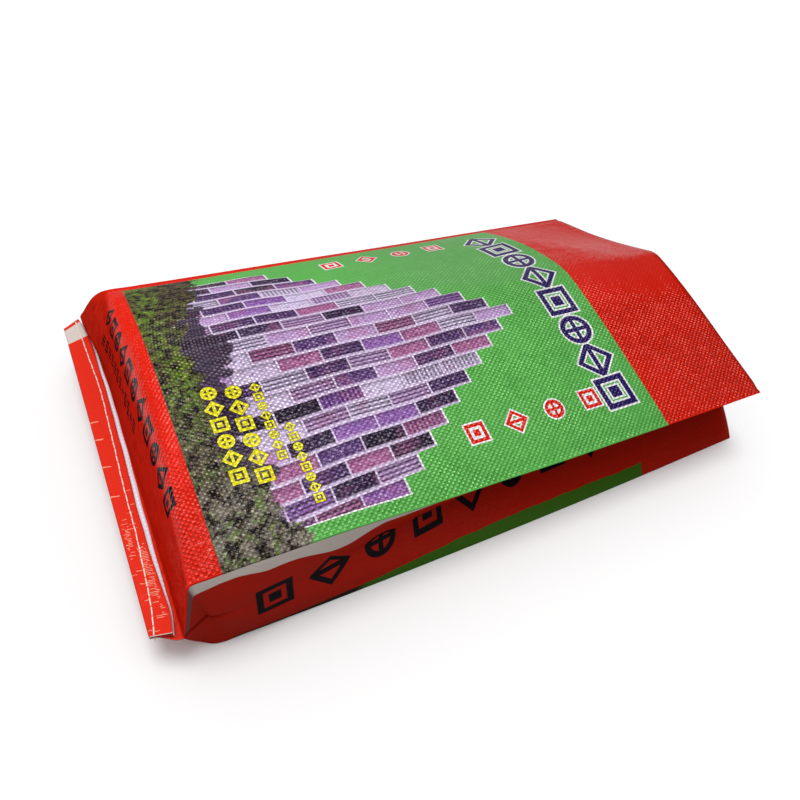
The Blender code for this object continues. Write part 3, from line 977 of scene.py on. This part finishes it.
# A glossy and a dull shader mixed. Gloss breaks on the tapes, strong where the film is slack over them and
# weak where it is drawn tight, with fine crinkles and, on the sewn end, slanting fibres
def printedFilm():
    made, shader = newMaterial("printedFilm", Specular_IOR_Level=0.5, Coat_Roughness=film["coatRough"],
                               Metallic=film["tint"])
    tree = made.node_tree
    dull = tree.nodes.new("ShaderNodeBsdfPrincipled")
    dull.inputs["Specular IOR Level"].default_value = 0.0
    dull.inputs["Roughness"].default_value = film["dullRough"]
    u, x = uvOf(tree, "print")
    across, along = uvOf(tree, "cloth")
    place = spotAt(across, along)
    roundTape, longTape = printed["tape"]
    draw = drawOfPair((across / roundTape).whole(), (along / longTape).whole())
    patchy = noiseAt(place, 9.0, 3.0, 0.5)

    # places: the near side and the far slope of the front panel, the sewn end, the flap, and what is
    # drawn tight: the end band, the mouth's crown and the mouth's edge
    onFront = u < sack["panel"]
    onSlope = x.between(-0.1, 0.067, 0.012) * onFront
    onFlap = along < 0.0
    nearSide = u.ramp(0.33, 0.17)
    farSlope = u.ramp(0.22, 0.3) * x.ramp(0.42, 0.52) * onFront
    quiet = x.ramp(0.115, 0.08) * u.ramp(0.03, 0.12) * 0.8
    quiet = quiet.most(u.ramp(0.135, 0.175) * x.ramp(0.52, 0.6) * 0.75).most(x.ramp(0.685, 0.735) * 0.6)

    # relief: the weave where the film is slack, creases where slow noise passes its middle, fine crinkles
    # and the sewn end's fibres
    woven, crest = weave(across, along)
    slack = onFront * (0.45 + nearSide * 0.55) * (1 - onSlope * 0.85) * (1 - farSlope * 0.75)
    slack = (slack + (1 - onFront) * 0.12) * (1 - onFlap * 0.7)
    slack = slack * (0.5 + patchy.ramp(0.3, 0.65) * 0.6) * (1 - quiet * 0.7)
    folds = noiseAt(spotAt(across * 0.6, along * 1.5), 17.0, 2.0, 0.4)
    creases = (folds - 0.5).size().ramp(0.045, 0.0) * patchy.ramp(0.5, 0.62) * onFront * (1 - onSlope)
    fibres = noiseAt(spotAt((across + along) * 0.35, (along - across) * 1.6), 150.0, 5.0)
    height = woven * (0.4 + draw * 1.1) * slack + creases * film["crease"]
    height = height + noiseAt(place, 45.0, 4.0, 0.55) * film["crinkle"] + fibres * onSlope * film["fibre"]

    # painted shade darkens the ink in the hollows and along the slope's fibres, and painted glints brighten
    # it on the crests, in flocks
    onTop = onFront * (1 - onSlope) * (1 - quiet)
    paintedHollowShade = crest.ramp(0.5, 0.1) * (0.15 + nearSide * (0.1 + x.ramp(0.5, 0.3) * 0.25)) * onTop
    paintedHollowShade = paintedHollowShade.most(fibres.ramp(0.52, 0.38) * onSlope * 0.3)
    paintedGlints = crest.ramp(0.45, 0.9) * (0.2 + draw) * (0.17 + nearSide * 0.28) * onTop
    paintedGlints = paintedGlints * (0.25 + patchy.ramp(0.3, 0.6)) * (0.55 + noiseAt(place, 38.0).ramp(0.45, 0.62) * 1.2)
    colour = tubePrint(u, x).blend("MULTIPLY", paintedHollowShade, film["hollowShadeInk"])
    # the crests brightened and paled: painted glints
    colour = colour.blend("ADD", paintedGlints * 1.1, colour)
    colour = colour.blend("ADD", paintedGlints, film["glintInk"])
    # a grey veil over the far side of the front panel: painted reflection
    colour = colour.over(u.ramp(0.14, 0.3) * x.ramp(0.25, 0.45) * onFront * film["farSheen"], printInk("farSheen"))
    # the sewn end's slope darkened, most towards its far side: painted shade
    colour = colour.blend("MULTIPLY", onSlope * (0.3 + u.ramp(0.22, 0.38) * 0.7), film["slopeShadeInk"])
    colour = colour.over(onFlap * film["flapPale"], printInk("scar"))
    colour = colour.over(flapScars(across, along), printInk("scar"))

    # gloss: least on the gussets and the back, most on the near side, in streaks on the sewn end
    sheen = fibres.ramp(0.47, 0.66) * (u.ramp(0.15, 0.03) * patchy.ramp(0.4, 0.6) * 0.3 + 0.012)
    gloss = 0.05 - onFront * 0.03 + onFront * (0.18 + nearSide * 0.46) * (1 - onSlope)
    gloss = gloss + onSlope * sheen * (1 - onFlap) + onFlap * 0.06
    least, wear = film["rough"]
    bumped = bumpOf(height, film["depth"])
    for half in (dull, shader):
        colour.into(half, "Base Color")
        bumped.into(half, "Normal")
    (least + noiseAt(place, 14.0, 3.0, 0.5) * wear).into(shader, "Roughness")
    (farSlope * film["farCoat"]).into(shader, "Coat Weight")
    halves = {0: gloss, 1: Wire(dull.outputs[0]), 2: Wire(shader.outputs[0])}
    u.node("ShaderNodeMixShader", sockets=halves).into(tree.nodes["Material Output"], "Surface")
    return made


# The unprinted side: milky woven tape, darker between the crests as painted shade
def bareWeave():
    made, shader = newMaterial("bareWeave", Roughness=0.5, Specular_IOR_Level=0.4)
    crest = weave(*uvOf(made.node_tree, "cloth"))[1]
    mixed(crest, ink(*film["bareHollowShade"]), ink(*film["barePale"])).into(shader, "Base Color")
    bumpOf(crest, film["bareDepth"]).into(shader, "Normal")
    return made


# The sack in one piece. Its print's x runs straight over the body, and the end's own length is shrunk to
# meet it at the top corner
def buildSack():
    start = printed["field"][0]
    run = points[..., 0]
    corner = sack["cornerCloth"]
    beyond = ease(run, *printed["turn"])
    reach = start / np.maximum(np.max(np.where(run < start - corner, lengths, 0.0), axis=0), 0.05)
    onEnd = lengths * np.minimum(reach, 1.0)
    printX = np.where(lengths < 0, lengths, onEnd * (1 - beyond) + (run + corner) * beyond)
    u = np.broadcast_to(around, (points.shape[0], len(around)))
    maps = {"print": (u, printX), "cloth": (u, lengths)}
    made = ringMesh("wovenSack", points + np.array(sack["corner"]), maps)
    made.data.materials.append(printedFilm())
    made.data.materials.append(bareWeave())
    cloth = made.modifiers.new("cloth", "SOLIDIFY")
    cloth.thickness = sack["cloth"]
    cloth.offset = 0.0
    cloth.use_even_offset = False
    cloth.material_offset = 1
    cloth.material_offset_rim = 1
    return made


sackPiece = buildSack()
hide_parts("sack")
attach(sackPiece, "root")
print("sack built")


# The two sewing threads, tubes along the stitch line on the flap's top and under the hem
thread = {
    "radius": 0.0006,
    "stitch": 0.0095,
    "sunk": 0.0019,  # how deep the needle thread dips at its holes, and half a hole's share of a stitch
    "hole": 0.085,
    "uneven": 0.12,  # stitches
    "wander": [(0.00012, 310), (0.0002, 71)],  # (metres, radians a metre)
    "loop": (0.0008, 0.0016, 0.0003),  # the looper's swing along the sack, along the seam and down
    "off": (0.7, 0.8),  # radii from the cloth to the needle thread's middle and to the looper thread's
    "ends": (-0.002, 1.003),  # width shares
    "ply": 0.0021,  # length along the thread of one turn of its plies, and their relief
    "plyDepth": 0.0002,
    # (width share, run) of the stitch line
    "line": [(0, -0.0318), (0.026, -0.0302), (0.104, -0.0272), (0.206, -0.0252), (0.35, -0.0241),
             (0.486, -0.0231), (0.63, -0.0212), (0.756, -0.0210), (0.9, -0.0238), (1, -0.0262)],
    "dark": (222, 198, 186, 0.7),  # with the light; this darker colour lies in the grooves between the plies: painted shade
    "pale": (240, 226, 214, 0.82),
}


# Path (n, 3) to a closed tube: at each point a circle of the given radius across the path's direction,
# drawn together over the last two points of each end
def tubeMesh(name, path, radius, sides=8):
    ahead = unit(np.gradient(path, axis=0))
    level = unit(np.cross(ahead, np.array([0.0, 0.0, 1.0])))
    over = np.cross(level, ahead)
    angle = np.linspace(0, 2 * math.pi, sides, endpoint=False)[None, :, None]
    count = np.arange(len(path))
    radii = radius * np.sqrt(np.clip(np.minimum(count, count[::-1]) / 2.0, 0.02, 1))
    circles = np.cos(angle) * level[:, None] + np.sin(angle) * over[:, None]
    length = np.concatenate([[0], np.cumsum(np.linalg.norm(np.diff(path, axis=0), axis=1))])
    u = np.broadcast_to(np.arange(sides + 1) / sides, (len(path), sides + 1))
    v = np.broadcast_to(length[:, None], (len(path), sides))
    return ringMesh(name, path[:, None] + radii[:, None, None] * circles, {"cloth": (u, v)}, capped=True)


# Two plies laid round each other: a sine on round angle and length together, its darker colour in the
# grooves as painted shade
def sewingThread():
    made, shader = newMaterial("sewingThread", Roughness=0.55, Specular_IOR_Level=0.3)
    u, v = uvOf(made.node_tree, "cloth")
    plies = (u * (4 * math.pi) + v * (2 * math.pi / thread["ply"])).sine()
    mixed(plies * 0.5 + 0.5, ink(*thread["dark"]), ink(*thread["pale"])).into(shader, "Base Color")
    bumpOf(plies, thread["plyDepth"]).into(shader, "Normal")
    return made


# The stitch line's points and their metres along it: run by the knots, height of the hem's top or its
# underside there
def stitchPath(top, steps):
    w = np.linspace(*thread["ends"], steps)
    share = np.clip(w, 0, 1)
    run = through(thread["line"], share)
    turn, cut = sack["hemTurnRun"], through(sack["cutTop"], share)
    folded = np.clip((run - turn) / (cut - turn), 0, 1) if top else 0.0
    back = 1.0 if top else ease(sack["seamRun"] - run, 0, sack["seamRun"] - turn)
    layers = 1.5 * sack["pitch"] + sack["cloth"] / 2
    off = 2 * sack["hemRadius"] + layers if top else -layers
    across = sack["seamNear"] + sack["panel"] * w + hemShift(w, back, folded)
    height = sack["seamZ"] + seamLift(share) + off + hemRise(share, back, folded, 1.0)
    return np.stack([run, across, height], axis=-1), sack["panel"] * w


# The needle thread is flat on top and dips down a hole at each stitch's end, with a slight wander. The
# looper thread is a chain of loops under the hem, two sideways for each one along
def buildThreads():
    cover = sewingThread()
    corner, radius = np.array(sack["corner"]), thread["radius"]
    offTop, offFoot = thread["off"]
    above, gone = stitchPath(True, 640)
    phase = (gone / thread["stitch"] + thread["uneven"] * np.sin(gone * 57)) % 1.0
    hole = np.exp(-((np.minimum(phase, 1 - phase) / thread["hole"]) ** 2))
    above[:, 2] += radius * offTop - thread["sunk"] * hole
    above[:, 0] += sum(swing * np.sin(gone * rate) for swing, rate in thread["wander"])
    needle = tubeMesh("needleStitches", above + corner, radius)
    under, gone = stitchPath(False, 900)
    phase = 2 * math.pi * gone / thread["stitch"]
    aside, along, down = thread["loop"]
    under[:, 0] += aside * np.sin(phase)
    under[:, 1] += along * np.sin(2 * phase)
    under[:, 2] -= radius * offFoot + down * (1 + np.cos(phase))
    looper = tubeMesh("looperChain", under + corner, radius)
    for piece, node in ((needle, "needle_thread"), (looper, "looper_thread")):
        piece.data.materials.append(cover)
        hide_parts(node)
        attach(piece, "root")
    return [needle, looper]


threadPieces = buildThreads()
print("threads sewn")


# The set: a pale floor under a wide soft dome, a smaller key that glints, a lamp over the sewn end and a
# low one over the near side
studio = {
    "floor": 0.74,
    "sky": 0.2,
    "from": (-0.06, 0.12, 1.0),  # where both suns stand
    "suns": [("key", 1.9, 30.0), ("dome", 2.0, 125.0)],  # (name, strength, width in degrees)
    # soft lamps that light the sack alone: (name, watts, place, aim, size)
    "lamps": [("endLamp", 4.8, (-0.52, 0.05, 0.95), (-0.22, 0.0, 0.05), 0.45),
              ("nearLamp", 1.2, (-0.12, -0.15, 0.45), (-0.12, -0.15, 0.1), 0.34)],
}


# A light at a place, its -Z axis towards the aim
def addLight(name, kind, energy, place, aim, glints):
    data = bpy.data.lights.new(name, kind)
    data.energy = energy
    made = bpy.data.objects.new(name, data)
    turned = (Vector(place) - Vector(aim)).to_track_quat("Z", "Y").to_matrix().to_4x4()
    made.matrix_world = Matrix.Translation(Vector(place)) @ turned
    made.visible_glossy = glints
    bpy.context.scene.collection.objects.link(made)
    return made


# The floor, the sky and the lights; the gloss sees only the key, so that it alone glints on the tapes
def buildSet(litPieces):
    bpy.ops.mesh.primitive_plane_add(size=60)
    floor = bpy.context.object
    floor.name = "floor"
    grey = (studio["floor"],) * 3 + (1.0,)
    floor.data.materials.append(newMaterial("paper", Base_Color=grey, Roughness=0.9)[0])
    world = bpy.data.worlds.new("studio")
    bpy.context.scene.world = world
    world.use_nodes = True
    background = world.node_tree.nodes["Background"]
    background.inputs["Color"].default_value = (1.0, 1.0, 1.0, 1.0)
    world.cycles_visibility.glossy = False
    # past the floor's edge the camera sees white, and the sack is lit by the sky's own strength
    seen = Wire(world.node_tree.nodes.new("ShaderNodeLightPath").outputs["Is Camera Ray"])
    (seen * (1.0 - studio["sky"]) + studio["sky"]).into(background, "Strength")
    for name, strength, width in studio["suns"]:
        sun = addLight(name, "SUN", strength, studio["from"], (0.0, 0.0, 0.0), name == "key")
        sun.data.angle = math.radians(width)
    # the lamps light the sack alone, so that the floor stays even
    lit = bpy.data.collections.new("litByLamps")
    for piece in litPieces:
        lit.objects.link(piece)
    for name, watts, place, aim, size in studio["lamps"]:
        lamp = addLight(name, "AREA", watts, place, aim, False)
        lamp.data.size = size
        lamp.light_linking.receiver_collection = lit
    bpy.context.scene.view_settings.view_transform = "Standard"


buildSet([sackPiece, *threadPieces])
